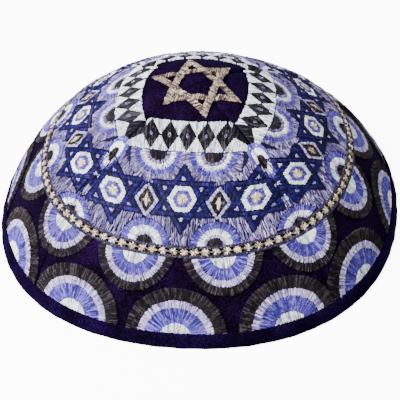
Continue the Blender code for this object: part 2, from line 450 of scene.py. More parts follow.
def grid_faces(rows: int, columns: int, offset: int, wrap_rows: bool, wrap_columns: bool) -> list:
    """List the quads of a grid of points.

    Args:
        rows: How many rows of points.
        columns: How many points a row.
        offset: The number of the first point.
        wrap_rows: Whether the last row joins the first.
        wrap_columns: Whether the last column joins the first.

    Returns:
        Quads as lists of point numbers.
    """
    row = np.arange(rows if wrap_rows else rows - 1)[:, None]
    column = np.arange(columns if wrap_columns else columns - 1)[None]
    below = (row + 1) % rows * columns
    beside = (column + 1) % columns
    row = row * columns
    corners = np.broadcast_arrays(row + column, row + beside, below + beside, below + column)
    return (offset + np.stack(corners, axis=-1)).reshape(-1, 4).tolist()


def wall_object(name: str, outer: Array, inner: Array, material: bpy.types.Material) -> Piece:
    """Close two sheets of points, one over the other, into a wall.

    Args:
        name: The piece's name.
        outer: The outer face's points, rows by columns by 3.
        inner: The inner face's points, of the same shape.
        material: The wall's material.

    Returns:
        The closed wall.
    """
    rows, columns = outer.shape[:2]
    count = rows * columns
    faces = grid_faces(rows, columns, 0, False, False)
    faces += grid_faces(rows, columns, count, False, False)
    edge = list(range(columns))
    edge += [row * columns + columns - 1 for row in range(1, rows)]
    edge += [(rows - 1) * columns + column for column in range(columns - 2, -1, -1)]
    edge += [row * columns for row in range(rows - 2, 0, -1)]
    for here, there in zip(edge, edge[1:] + edge[:1]):
        faces.append((here, there, there + count, here + count))
    points = np.concatenate([outer.reshape(-1, 3), inner.reshape(-1, 3)])
    return closed_object(name, points, faces, material)


def joined(name: str, parts: list[Piece]) -> Piece:
    """Join several mesh objects into one piece.

    Args:
        name: The piece's name.
        parts: The objects, which keep their materials.

    Returns:
        The first of them, which holds them all.
    """
    with bpy.context.temp_override(active_object=parts[0], selected_editable_objects=parts):
        bpy.ops.object.join()
    parts[0].name = name
    parts[0].data.name = name
    return parts[0]


def put_tint(piece: Piece, tint: Array) -> None:
    """Give a piece's points a tint of their own, which its thread material reads."""
    layer = piece.data.attributes.new("tint", "FLOAT", "POINT")
    layer.data.foreach_set("value", np.asarray(tint, dtype=np.float32))


def finish_piece(piece: Piece, slot: str, *nodes: str) -> None:
    """Make a piece ride on the cap, and hide the nodes that it stands for."""
    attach(piece, BODY)
    if nodes:
        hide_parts(*nodes)
    log.info("%s: %d faces", piece.name, len(piece.data.polygons))


@dataclass
class Stitches:
    """Straight stitches on the flat pattern, with an (across, run) pair at each end."""

    ends: Array = field(default_factory=lambda: np.zeros((0, 2, 2)))
    tint: Array = field(default_factory=lambda: np.zeros(0))
    cut_shares: ClassVar[tuple[float, float]] = (0.35, 0.65)
    cut_tint: ClassVar[float] = 0.25

    @property
    def length(self) -> Array:
        """Each stitch's length."""
        return np.linalg.norm(self.ends[:, 1] - self.ends[:, 0], axis=1)

    def moved(self, across: float, run: float) -> "Stitches":
        """Move the stitches over the flat pattern."""
        return Stitches(self.ends + np.array([across, run]), self.tint)

    def kept(self, keep: Array) -> "Stitches":
        """The stitches that a mask keeps."""
        return Stitches(self.ends[keep], self.tint[keep])

    def ragged(self, rng: Chance, along: float, aside: float) -> "Stitches":
        """Make the stitches as uneven as hand work.

        Args:
            rng: The seeded source of chance.
            along: How far an end strays along its stitch.
            aside: How far an end strays sideways.

        Returns:
            The uneven stitches.
        """
        way = (self.ends[:, 1] - self.ends[:, 0]) / np.maximum(self.length, TINY)[:, None]
        beside = np.stack([-way[:, 1], way[:, 0]], axis=-1)
        count = len(self.ends)
        stray = rng.normal(0, along, (count, 2, 1)) * way[:, None]
        stray += rng.normal(0, aside, (count, 2, 1)) * beside[:, None]
        return Stitches(self.ends + stray, self.tint)

    def broken(self, rng: Chance, longest: float) -> "Stitches":
        """Split long stitches until none is longer, as long-and-short stitch does.

        Args:
            rng: The seeded source of chance.
            longest: The longest stitch that stays whole.

        Returns:
            The stitches, with fresh tints on the outer halves.
        """
        long = self.length > longest
        if not long.any():
            return self
        cut = rng.uniform(*self.cut_shares, (int(long.sum()), 1))
        begin, end = self.ends[long, 0], self.ends[long, 1]
        middle = begin + (end - begin) * cut
        tint = np.clip(self.tint[long] + rng.normal(0, self.cut_tint, len(cut)), 0, 1)
        ends = np.concatenate(
            [self.ends[~long], np.stack([begin, middle], axis=1), np.stack([middle, end], axis=1)]
        )
        whole = Stitches(ends, np.concatenate([self.tint[~long], self.tint[long], tint]))
        return whole.broken(rng, longest)

    def trimmed(self, allowed: Allowed, shortest: float = 0.5, samples: int = 15) -> "Stitches":
        """Cut each stitch to its longest allowed stretch.

        Args:
            allowed: Tells which (across, run) places may carry thread.
            shortest: The shortest stitch that is kept.
            samples: How many places are tried along a stitch.

        Returns:
            The stitches that are left.
        """
        shares = np.linspace(0, 1, samples)
        ways = self.ends[:, 1] - self.ends[:, 0]
        places = self.ends[:, None, 0] + ways[:, None] * shares[None, :, None]
        good = allowed(places[..., 0], places[..., 1])
        counts = np.zeros(good.shape, dtype=int)
        counts[:, 0] = good[:, 0]
        for column in range(1, samples):
            counts[:, column] = good[:, column] * (counts[:, column - 1] + 1)
        last = counts.argmax(axis=1)
        most = counts.max(axis=1)
        first = np.maximum(last - most + 1, 0)
        begin = self.ends[:, 0] + ways * shares[first][:, None]
        end = self.ends[:, 0] + ways * shares[last][:, None]
        keep = (most > 1) & (np.linalg.norm(end - begin, axis=1) >= shortest)
        return Stitches(np.stack([begin, end], axis=1), self.tint).kept(keep)


def heading(here: Array, there: Array) -> tuple[Array, Array]:
    """The unit direction from one flat place to another, and the one square to it."""
    way = (there - here) / np.linalg.norm(there - here)
    return way, np.array([-way[1], way[0]])


def sides_of(corners: Array) -> zip:
    """Each side of a closed outline, as a pair of corners."""
    return zip(corners, np.roll(corners, -1, axis=0))


class Facing(Enum):
    """Which way a scallop opens from its straight edge."""

    TO_RIM = 1
    TO_CROWN = -1


@dataclass(frozen=True)
class Needle:
    """Lays stitches in the ways that the embroidery uses."""

    pitch: float = 0.49
    longest: float = 1.6
    shortest_fill: float = 0.3
    ragged_along: float = 0.14
    ragged_aside: float = 0.05
    tint_run: int = 9
    tint_spread: float = 0.2
    ring_weights: tuple[float, float] = (0.3, 0.7)
    ring_stray: float = 0.25
    hollow_radius: float = 1.0
    hollow_share: float = 0.3
    bar_pace: float = 1.02
    arc_step: float = 1.3
    arc_kept: float = 0.55

    def tints(self, rng: Chance, count: int, drift: float = 0.09) -> Array:
        """Draw stitch tints that drift slowly, as a variegated thread does.

        Args:
            rng: The seeded source of chance.
            count: How many stitches.
            drift: How far neighbours drift together.

        Returns:
            Tints from 0 to 1.
        """
        if count == 0:
            return np.zeros(0)
        knots = rng.uniform(-1, 1, count // self.tint_run + 3)
        slow = np.interp(np.linspace(0, len(knots) - 1, count), np.arange(len(knots)), knots)
        return np.clip(0.5 + drift * slow + rng.normal(0, self.tint_spread, count), 0, 1)

    def rough(self, rng: Chance, ends: Array, drift: float = 0.06) -> Stitches:
        """Make stitches from their ends, uneven and tinted."""
        lot = Stitches(ends, self.tints(rng, len(ends), drift))
        return lot.ragged(rng, self.ragged_along, self.ragged_aside)

    def ring(
        self,
        rng: Chance,
        inner: float,
        outer: float,
        facing: Facing,
        spread: float = 92.0,
    ) -> Stitches:
        """Lay radial stitches in half a ring, whose centre is at the origin.

        Args:
            rng: The seeded source of chance.
            inner: The ring's inner radius.
            outer: The ring's outer radius.
            facing: Which way the half-ring opens.
            spread: Degrees to each side of the opening.

        Returns:
            The ring's stitches.
        """
        half = math.radians(spread)
        inner_weight, outer_weight = self.ring_weights
        reach = 2 * half * (inner_weight * inner + outer_weight * outer)
        count = max(3, int(reach / self.pitch))
        turns = np.linspace(-half, half, count)
        turns = turns + rng.normal(0, self.ring_stray / count, count)
        way = np.stack([np.sin(turns), facing.value * np.cos(turns)], axis=-1)
        start = np.full(count, inner)
        if inner < self.hollow_radius:
            start[1::2] += self.hollow_share * (outer - inner)
        ends = np.stack([way * start[:, None], way * outer], axis=1)
        return self.rough(rng, ends).broken(rng, self.longest)

    def round_row(
        self, rng: Chance, inner: float, outer: float, facing: Facing, spread: float = 92.0
    ) -> Stitches:
        """Lay one row of a scallop: a half disc in the middle, and half rings round it."""
        if inner == 0.0:
            return self.half_disc(rng, outer, facing)
        return self.ring(rng, inner, outer, facing, spread)

    def half_disc(self, rng: Chance, radius: float, facing: Facing) -> Stitches:
        """Lay stitches down the cap in a half disc, whose centre is at the origin.

        Args:
            rng: The seeded source of chance.
            radius: The disc's radius.
            facing: Which way the half disc opens.

        Returns:
            The disc's stitches.
        """
        across = np.arange(-radius + self.pitch / 2, radius, self.pitch)
        deep = np.sqrt(radius**2 - across**2) * facing.value
        base = np.zeros_like(across)
        ends = np.stack([np.stack([across, base], -1), np.stack([across, deep], -1)], axis=1)
        return self.rough(rng, ends).broken(rng, 2 * self.longest)

    def fill(self, rng: Chance, corners: Array, lean: float = 0.0) -> Stitches:
        """Fill a convex shape with parallel stitches.

        Args:
            rng: The seeded source of chance.
            corners: The shape's corners, one (across, run) row each.
            lean: The stitches' lean from straight down the cap, in degrees.

        Returns:
            The shape's stitches.
        """
        turn = math.radians(lean)
        spin = np.array([[math.cos(turn), -math.sin(turn)], [math.sin(turn), math.cos(turn)]])
        flat = np.asarray(corners) @ spin
        low, high = flat[:, 0].min(), flat[:, 0].max()
        ends = []
        for across in np.arange(low + self.pitch / 2, high, self.pitch):
            cuts = []
            for here, there in sides_of(flat):
                if (here[0] - across) * (there[0] - across) < 0:
                    share = (across - here[0]) / (there[0] - here[0])
                    cuts.append(here[1] + share * (there[1] - here[1]))
            if len(cuts) >= 2 and max(cuts) - min(cuts) > self.shortest_fill:
                ends.append([[across, min(cuts)], [across, max(cuts)]])
        if not ends:
            return Stitches()
        return self.rough(rng, np.array(ends) @ spin.T)

    def bar(self, rng: Chance, start: Array, end: Array, width: float, slant: float = 25.0) -> Stitches:
        """Lay stitches across a bar.

        Args:
            rng: The seeded source of chance.
            start: The bar's first end on its centre line.
            end: The bar's other end.
            width: The bar's width.
            slant: The stitches' slant from square across, in degrees.

        Returns:
            The bar's stitches.
        """
        way, beside = heading(start, end)
        reach = np.linalg.norm(end - start)
        count = max(2, int(reach / (self.pitch * self.bar_pace)))
        middles = start + way * np.linspace(0, reach, count)[:, None]
        across = beside * width / 2 + way * math.tan(math.radians(slant)) * width / 2
        return self.rough(rng, np.stack([middles - across, middles + across], axis=1))

    def arc(self, rng: Chance, radius: float, facing: Facing, spread: float) -> Stitches:
        """Lay broken running stitches along half a circle, whose centre is at the origin.

        Args:
            rng: The seeded source of chance.
            radius: The circle's radius.
            facing: Which way the half circle opens.
            spread: Degrees to each side of the opening.

        Returns:
            The arc's stitches.
        """
        half = math.radians(spread)
        turns = np.linspace(-half, half, max(4, int(2 * half * radius / self.arc_step)) + 1)
        places = radius * np.stack([np.sin(turns), facing.value * np.cos(turns)], axis=-1)
        ends = np.stack([places[:-1], places[1:]], axis=1)
        ends = ends[rng.random(len(ends)) < self.arc_kept]
        return Stitches(ends, self.tints(rng, len(ends)))

    def line(self, rng: Chance, corners: Array, step: float = 2.2) -> Stitches:
        """Lay running stitches end to end round a closed outline.

        Args:
            rng: The seeded source of chance.
            corners: The outline's corners.
            step: The length of one stitch.

        Returns:
            The outline's stitches.
        """
        ends = []
        for here, there in sides_of(corners):
            count = max(1, round(float(np.linalg.norm(there - here)) / step))
            for index in range(count):
                begin = here + (there - here) * index / count
                ends.append([begin, here + (there - here) * (index + 1) / count])
        return Stitches(np.array(ends), self.tints(rng, len(ends)))


def inside(corners: Array, across: Array, run: Array) -> Array:
    """Tell which places are inside a convex shape.

    Args:
        corners: The shape's corners in order.
        across: The places' first coordinates.
        run: The places' second coordinates.

    Returns:
        True for each place inside.
    """
    sides = []
    for here, there in sides_of(corners):
        way = there - here
        sides.append(way[0] * (run - here[1]) - way[1] * (across - here[0]))
    sides = np.stack(sides)
    return (sides > 0).all(axis=0) | (sides < 0).all(axis=0)


def polygon(sides: int, radius: float, first: float = -90.0) -> Array:
    """The corners of a regular polygon, the first towards the crown."""
    turns = np.radians(first + np.arange(sides) * 360 / sides)
    return radius * np.stack([np.cos(turns), np.sin(turns)], axis=-1)


class StrandTree:
    """The node tree that turns stitch points into arched strands of thread."""

    name = "laid_satin_stitches"
    attributes = ("lay", "up", "reach")
    span = 10.0
    inputs = (
        ("Geometry", "NodeSocketGeometry", None),
        ("Strand Points", "NodeSocketInt", 3),
        ("Strand Sides", "NodeSocketInt", 3),
        ("Arch", "NodeSocketFloat", 0.8),
        ("Dive", "NodeSocketFloat", -0.35),
        ("Thread", "NodeSocketMaterial", None),
    )

    def __init__(self) -> None:
        """Build the tree once."""
        tree = bpy.data.node_groups.new(self.name, "GeometryNodeTree")
        self.tree = tree
        self.sockets: dict[str, str] = {}
        for label, kind, value in self.inputs:
            made = tree.interface.new_socket(label, in_out="INPUT", socket_type=kind)
            if value is not None:
                made.default_value = value
            self.sockets[label] = made.identifier
        tree.interface.new_socket("Geometry", in_out="OUTPUT", socket_type="NodeSocketGeometry")
        source = tree.nodes.new("NodeGroupInput").outputs
        half = self.span / 2
        ends = {}
        for label, reach, height in (("Start", -half, "Dive"), ("Middle", 0, "Arch"), ("End", half, "Dive")):
            ends[label] = piped(tree, "ShaderNodeCombineXYZ", {"X": reach, "Z": source[height]})
        arc = piped(tree, "GeometryNodeCurveQuadraticBezier", ends)
        paced = {"Curve": arc, "Count": source["Strand Points"]}
        sides = {"Radius": 0.5, "Resolution": source["Strand Sides"]}
        swept = {
            "Curve": piped(tree, "GeometryNodeResampleCurve", paced),
            "Profile Curve": piped(tree, "GeometryNodeCurvePrimitiveCircle", sides),
            "Fill Caps": True,
        }
        strand = piped(tree, "GeometryNodeCurveToMesh", swept)
        turn = tree.nodes.new("FunctionNodeAxesToRotation")
        turn.primary_axis = "X"
        turn.secondary_axis = "Z"
        wire(tree, turn, {"Primary Axis": self.read("lay"), "Secondary Axis": self.read("up")})
        laid = {
            "Points": source["Geometry"],
            "Instance": piped(tree, "GeometryNodeSetShadeSmooth", {"Geometry": strand}),
            "Rotation": turn.outputs["Rotation"],
            "Scale": self.read("reach"),
        }
        lay = piped(tree, "GeometryNodeInstanceOnPoints", laid)
        real = piped(tree, "GeometryNodeRealizeInstances", {"Geometry": lay})
        dye = piped(tree, "GeometryNodeSetMaterial", {"Geometry": real, "Material": source["Thread"]})
        wire(tree, tree.nodes.new("NodeGroupOutput"), {"Geometry": dye})

    def read(self, name: str) -> Socket:
        """Read a vector that each stitch point carries."""
        node = self.tree.nodes.new("GeometryNodeInputNamedAttribute")
        node.data_type = "FLOAT_VECTOR"
        wire(self.tree, node, {"Name": name})
        return node.outputs["Attribute"]

    def strands(self, name: str, spots: dict[str, Array], thread: Thread) -> Piece:
        """Turn stitch points into a mesh piece.

        Args:
            name: The piece's name.
            spots: The stitches' centres, and their lay, up, reach and tint.
            thread: The thread that they are sewn with.

        Returns:
            The piece, as a plain mesh.
        """
        piece = mesh_object(name, spots["centre"] / MM, [], smooth=False)
        for key in self.attributes:
            layer = piece.data.attributes.new(key, "FLOAT_VECTOR", "POINT")
            value = spots[key] / np.array([self.span, 1, 1]) if key == "reach" else spots[key]
            layer.data.foreach_set("vector", value.astype(np.float32).ravel())
        put_tint(piece, spots["tint"])
        modifier = piece.modifiers.new(self.name, "NODES")
        modifier.node_group = self.tree
        for label, _, value in self.inputs:
            if value is not None:
                modifier[self.sockets[label]] = value
        modifier[self.sockets["Thread"]] = thread.material
        graph = bpy.context.evaluated_depsgraph_get()
        made = bpy.data.meshes.new_from_object(
            piece.evaluated_get(graph), preserve_all_data_layers=True, depsgraph=graph
        )
        piece.modifiers.clear()
        piece.data = made
        made.name = name
        for key in self.attributes:
            if key in made.attributes:
                made.attributes.remove(made.attributes[key])
        return piece


@dataclass
class Sampler:
    """Collects the embroidery's stitches by band and thread, and sews them."""

    cloth: CapCloth
    tree: StrandTree
    needle: Needle = field(default_factory=Needle)
    thread_width: float = 0.56
    width_spread: tuple[float, float] = (0.82, 1.16)
    thread_height: float = 0.46
    unevenness: float = 0.07
    crown_height: float = 0.05
    crowned_length: float = 6.0
    end_reach: float = 0.12
    lift: float = 0.62
    seam_margin: float = 0.2
    lots: dict[tuple[str, Thread, str], list[dict[str, Array]]] = field(default_factory=dict)
    chance: Chance = field(default_factory=lambda: np.random.default_rng(5))

    def to_seam(self, across: Array, run: Array) -> Array:
        """How far places of the flat pattern are from the gore's nearest seam."""
        return QUARTER / 2 * self.cloth.radius(run) - np.abs(across)

    def in_gore(self, across: Array, run: Array) -> Array:
        """Tell which places of the flat pattern are inside the gore's seams."""
        return np.abs(across) < QUARTER / 2 * self.cloth.radius(run) - self.seam_margin

    def add(
        self,
        band: str,
        thread: Thread,
        slot: str,
        lot: Stitches,
        centre: float,
        bow: bool,
        lift: float = 0.0,
        girth: float = 1.0,
    ) -> None:
        """Lay a lot of stitches on the cloth.

        Args:
            band: The band of the pattern that they are in.
            thread: The thread that they are sewn with.
            slot: The record's material slot.
            lot: The stitches on the flat pattern.
            centre: The angle of the pattern's centre line.
            bow: Whether the pattern's rows sag towards the seams.
            lift: What the stitches lie higher than the others.
            girth: The thread's thickness against the usual one.
        """
        if not len(lot.ends):
            return
        cloth = self.cloth
        halfway = lot.ends.mean(axis=1, keepdims=True)
        flat = np.concatenate([lot.ends, halfway], axis=1)
        turn = flat[..., 0] / cloth.radius(flat[..., 1])
        run = cloth.bowed(turn, flat[..., 1]) if bow else flat[..., 1]
        count = len(lot.ends)
        uneven = self.chance.normal(0, self.unevenness, (count, 1))
        points = cloth.place(centre + turn, run, self.lift + lift + uneven + 0 * run)
        way = points[:, 1] - points[:, 0]
        length = np.linalg.norm(way, axis=1)
        middle = (points[:, 0] + points[:, 1]) / 4 + points[:, 2] / 2
        width = self.thread_width * girth * self.chance.uniform(*self.width_spread, count)
        crown = self.crown_height * np.minimum(length, self.crowned_length)
        height = self.thread_height * girth + crown
        spots = {
            "centre": middle * MM,
            "lay": way / np.maximum(length, TINY)[:, None],
            "up": cloth.outward(centre + turn[:, 2], run[:, 2]),
            "reach": np.stack([length + self.end_reach, width, height], axis=-1) * MM,
            "tint": lot.tint,
        }
        self.lots.setdefault((band, thread, slot), []).append(spots)

    def sew(self) -> None:
        """Sew one piece for each band and thread."""
        for (band, thread, slot), lots in self.lots.items():
            spots = {key: np.concatenate([lot[key] for lot in lots]) for key in lots[0]}
            piece = self.tree.strands(f"{band}_{thread.name.lower()}_stitches", spots, thread)
            finish_piece(piece, slot)


@dataclass
class VelvetCrown:
    """The four velvet gores and the binding round their hem."""

    cloth: CapCloth
    wall: float = 1.6
    seam_overlap: float = 0.08
    crease_depth: float = 0.4
    crease_reach: float = 1.1
    crease_start: float = 6.0
    crown_run: float = 0.02
    hem_run: float = 114.9
    rows: int = 72
    columns: int = 42
    binding_columns: int = 360
    swells: tuple[tuple[float, int, float], ...] = ((0.05, 37, 2.0), (0.04, 61, 0.0))
    swell_drifts: int = 5
    edge_height: float = 5.5
    edge_depth: float = 1.4
    edge_sway: float = 0.10
    edge_waves: int = 23
    edge_phase: float = 1.3
    binding_section: tuple[tuple[float, float], ...] = (
        (5.85, 0.30),
        (6.05, 0.80),
        (5.90, 1.20),
        (5.40, 1.50),
        (4.40, 1.70),
        (3.00, 1.80),
        (1.60, 1.75),
        (0.60, 1.50),
        (0.12, 0.90),
        (0.00, -0.10),
        (0.00, -0.80),
        (0.00, -1.50),
        (0.15, -2.20),
        (0.80, -2.60),
        (2.20, -2.70),
        (4.20, -2.68),
        (5.50, -2.55),
        (5.80, -2.25),
        (5.60, -1.95),
        (4.00, -1.92),
        (2.00, -1.92),
        (0.95, -1.60),
        (0.85, -0.80),
        (0.95, -0.10),
        (2.20, 0.14),
        (4.40, 0.14),
    )

    def gore(self, index: int) -> Piece:
        """Make one gore's wall.

        Args:
            index: 0 for the front gore, and on towards +X.

        Returns:
            The gore's piece.
        """
        shares = np.linspace(0, 1, self.rows)
        runs = self.crown_run + (self.hem_run - self.crown_run) * shares
        radii = self.cloth.radius(runs)
        half = QUARTER / 2 + np.arcsin(np.clip(self.seam_overlap / 2 / radii, 0, 0.5))
        across = np.sin(np.linspace(-1, 1, self.columns) * QUARTER)
        angle = index * QUARTER + half[:, None] * across[None]
        run = np.repeat(runs[:, None], self.columns, axis=1)
        aside = (half * radii)[:, None] * (1 - np.abs(across))[None]
        crease = np.clip(1 - aside / self.crease_reach, 0, 1) * np.clip(run / self.crease_start, 0, 1)
        outer = self.cloth.place(angle, run, -self.crease_depth * crease)
        inner = self.cloth.place(angle, run, -self.wall)
        return wall_object(f"velvet_gore_{GORES[index]}", outer, inner, VELVET.dress())

    def binding(self) -> Piece:
        """Make the folded tape round the hem."""
        angle = np.linspace(0, 2 * math.pi, self.binding_columns, endpoint=False)
        section = np.array(self.binding_section)
        height = np.repeat(section[:, 0][:, None], len(angle), axis=1)
        lift = np.repeat(section[:, 1][:, None], len(angle), axis=1)
        drift = np.sin(self.swell_drifts * angle)
        soft = sum(size * np.sin(waves * angle + far * drift) for size, waves, far in self.swells)
        lift = lift + soft * np.clip(lift, 0, None)
        edge = np.clip((height - self.edge_height) / self.edge_depth, 0, 1)
        height = height + self.edge_sway * np.sin(self.edge_waves * angle + self.edge_phase) * edge
        points = self.cloth.beside(np.broadcast_to(angle, height.shape), height, lift)
        faces = grid_faces(len(section), len(angle), 0, True, True)
        return closed_object("velvet_binding", points, faces, BINDING_VELVET.dress())

    def build(self) -> None:
        for index, name in enumerate(GORES):
            piece = self.gore(index)
            finish_piece(piece, "velvet", f"panel_{name}")
        piece = self.binding()
        finish_piece(piece, "binding_velvet", "rim_binding")


@dataclass(frozen=True)
class ScallopRow:
    """One row of half-round scallops, which stand or hang on a straight edge.

    The edge is a run down the velvet, and the circles' centres lie the drop behind it. The
    first scallop's angle and the shifts off even spacing are in degrees.
    """

    name: str
    edge: float
    drop: float
    radii: tuple[float, ...]
    facing: Facing
    first: float = 0.0
    shifts: tuple[float, ...] = (0.0,) * 12


@dataclass
class PadGrounds:
    """The dark cloth pads under the embroidery."""

    cloth: CapCloth
    inner_lift: float = 0.22
    outer_lift: float = 0.48
    seam_margin: float = 0.3
    first_runs: tuple[float, ...] = (21.7, 23.0, 25.7, 23.0)
    last_run: float = 74.3
    rows: int = 40
    columns: int = 30
    pad_rows: int = 8
    pad_columns: int = 21

    def pad(self, name: str, angle: Array, run: Array) -> Piece:
        """Make a pad over a grid of angles and runs."""
        outer = self.cloth.place(angle, run, self.outer_lift)
        inner = self.cloth.place(angle, run, self.inner_lift)
        return wall_object(name, outer, inner, GROUND.dress())

    def field(self, index: int) -> Piece:
        """Make the pad under one gore's field."""
        flat = np.linspace(self.first_runs[index], self.last_run, self.rows)
        half = QUARTER / 2 - self.seam_margin / self.cloth.radius(flat)
        turn = half[:, None] * np.linspace(-1, 1, self.columns)[None]
        run = self.cloth.bowed(turn, np.repeat(flat[:, None], self.columns, axis=1))
        return self.pad(f"field_ground_{GORES[index]}", index * QUARTER + turn, run)

    def scallop(self, name: str, angle: float, row: ScallopRow) -> Piece:
        """Make the pad under one scallop of a row, at an angle round the cap."""
        radius = row.radii[-1]
        half = math.sqrt(radius**2 - row.drop**2)
        across = half * np.sin(np.linspace(-1, 1, self.pad_columns) * QUARTER)
        depth = np.sqrt(np.clip(radius**2 - across**2, 0, None)) - row.drop
        share = np.linspace(0, 1, self.pad_rows)
        run = row.edge + row.facing.value * depth[None] * share[:, None]
        return self.pad(name, angle + across[None] / self.cloth.radius(run), run)

    def build(self) -> None:
        """Make the field's pads."""
        for index, name in enumerate(GORES):
            finish_piece(self.field(index), "field_thread", f"embroidery_{name}")


@dataclass
class FieldPattern:
    """The pattern between the bare crown and the braid, repeated on each gore."""

    sampler: Sampler
    slot: str = "field_thread"
    seed: int = 101
    shortest: float = 0.3
    hollow: float = 0.3
    whole_turn: float = 180.0
    tooth_tops: tuple[float, ...] = (21.6, 22.9, 25.6, 22.9)
    tooth_foot: float = 35.3
    tooth_pitch: float = 7.4
    teeth_aside: int = 2
    tooth_samples: int = 31
    tooth_eye: tuple[float, float] = (0.6, 1.0)
    tooth_eye_sizes: tuple[float, float] = (0.7, 1.1)
    seam_tooth: float = 4.4
    eye_run: float = 40.5
    eye_radii: tuple[float, ...] = (3.2, 5.8, 8.0)
    eye_threads: tuple[Thread, ...] = (Thread.CHARCOAL, Thread.WHITE, Thread.LAVENDER)
    eye_narrowing: float = 0.5
    upper_run: float = 36.2
    upper_across: tuple[float, ...] = (-11.2, 11.2)
    upper_radii: tuple[float, ...] = (3.7, 5.2, 6.8, 7.5, 9.6, 13.4)
    upper_threads: tuple[Thread, ...] = (
        Thread.CHARCOAL,
        Thread.MAUVE,
        Thread.WHITE,
        Thread.LILAC,
        Thread.LAVENDER,
        Thread.MAUVE,
    )
    crowded_radius: float = 11.0
    ring_reach: float = 11.3
    # Radius of the navy arc of painted shade just outside each scallop's lavender ring.
    shade_line_radius: float = 10.1
    star_run: float = 55.2
    star_turns: tuple[float, ...] = (-33.0, 0.0, 33.0)
    star_radius: float = 14.5
    star_bar: float = 1.8
    star_tip_side: float = 2.1
    star_nest_side: float = 5.0
    star_tip_reach: float = 8.4
    star_margin: float = 0.5
    star_firsts: tuple[float, float] = (-90.0, 90.0)
    # How far the navy lines of painted shade sit outside the star's outline.
    shade_line_gap: float = 0.1
    hexagon_radii: tuple[float, ...] = (2.1, 4.0, 6.2)
    diamond_run: float = 56.6
    diamond_turns: tuple[float, ...] = (-49.5, -16.2, 16.2, 49.5)
    diamond_sizes: tuple[tuple[float, float], ...] = ((1.5, 3.0), (3.5, 5.5), (5.2, 7.2))
    diamond_threads: tuple[Thread, ...] = (Thread.CREAM, Thread.CHARCOAL, Thread.LILAC)
    diamond_lifts: tuple[float, ...] = (0.16, -0.08, -0.3)
    diamond_rises: tuple[float, ...] = (0.1, 0.0)
    diamond_margins: tuple[float, float] = (0.4, 0.5)
    lower_run: float = 74.2
    lower_places: tuple[tuple[float, float], ...] = (
        (-45.0, 70.8),
        (-12.6, 74.2),
        (12.6, 74.2),
        (45.0, 70.8),
    )
    lower_radii: tuple[float, ...] = (3.5, 4.6, 7.2, 10.0)
    lower_threads: tuple[Thread, ...] = (Thread.CHARCOAL, Thread.LILAC, Thread.WHITE, Thread.LAVENDER)
    lower_margin: float = 0.3
    upper_margin: float = 0.2
    longest: float = 3.8
    first_lengths: tuple[float, float] = (0.4, 1.0)
    lengths: tuple[float, float] = (0.6, 1.0)
    shortest_field: float = 0.7
    run_step: float = 0.2
    drift: float = 0.1
    missing: float = 0.04
    stray: float = 0.25
    overlay_share: float = 0.3
    overlay_shift: float = 0.5
    royal_band: tuple[float, float] = (48.5, 61.5)

    def lay(
        self, band: str, thread: Thread, lot: Stitches, centre: float, lift: float = 0.0, girth: float = 1.0
    ) -> None:
        """Lay stitches in rows that sag towards the seams."""
        self.sampler.add(band, thread, self.slot, lot, centre, True, lift, girth)

    def spot(self, turn: float, run: float) -> Array:
        """The flat place at an angle from the gore's centre, in degrees."""
        return np.array([math.radians(turn) * float(self.sampler.cloth.radius(run)), run])

    @cached_property
    def upper_spots(self) -> list[Array]:
        """The upper scallops' centres on the flat pattern."""
        return [np.array([across, self.upper_run]) for across in self.upper_across]

    @cached_property
    def stars(self) -> list[Array]:
        """The stars' centres on the flat pattern."""
        return [self.spot(turn, self.star_run) for turn in self.star_turns]

    @cached_property
    def diamonds(self) -> list[Array]:
        """The diamonds' centres on the flat pattern."""
        return [self.spot(turn, self.diamond_run) for turn in self.diamond_turns]

    @cached_property
    def lowers(self) -> list[Array]:
        """The lower scallops' centres on the flat pattern."""
        return [self.spot(turn, run) for turn, run in self.lower_places]

    def clear_of_motifs(self, across: Array, run: Array, rings: bool) -> Array:
        """Tell which places no motif covers.

        Args:
            across: The places' first coordinates on the flat pattern.
            run: The places' second coordinates.
            rings: Whether the upper scallops' outer rings count as motifs.

        Returns:
            True for each clear place.
        """
        clear = np.ones(np.shape(across), dtype=bool)
        for centre in self.stars:
            for first in self.star_firsts:
                triangle = centre + polygon(3, self.star_radius + self.star_margin, first)
                clear &= ~inside(triangle, across, run)
        wide, tall = np.array(self.diamond_sizes[-1]) + self.diamond_margins
        for centre in self.diamonds:
            clear &= np.abs(across - centre[0]) / wide + np.abs(run - centre[1]) / tall > 1
        for centre in self.lowers:
            away = np.hypot(across - centre[0], run - centre[1])
            clear &= away > self.lower_radii[-1] + self.lower_margin
        aside = self.sampler.to_seam(across, run)
        away = np.hypot(aside / self.eye_narrowing, run - self.eye_run)
        clear &= away > self.eye_radii[-1]
        if rings:
            for x in self.upper_across:
                away = np.hypot(across - x, run - self.upper_run)
                clear &= away > self.upper_radii[-1] + self.upper_margin
        return clear

    def sawtooth(self, rng: Chance, centre: float) -> None:
        """Lay the white teeth and black diamonds round the bare crown."""
        needle = self.sampler.needle
        in_gore = self.sampler.in_gore
        top = self.tooth_tops[round(centre / QUARTER)]
        foot = self.tooth_foot
        middle = (top + foot) / 2

        def dark(across: Array, run: Array) -> Array:
            """Places inside a black diamond, or inside the half one at a seam."""
            nearest = np.clip(np.round(across / self.tooth_pitch), -self.teeth_aside, self.teeth_aside)
            off = np.abs(across - nearest * self.tooth_pitch) / (self.tooth_pitch / 2)
            seam = self.sampler.to_seam(across, run) / self.seam_tooth
            return np.minimum(off, seam) + np.abs(run - middle) / (middle - top) < 1

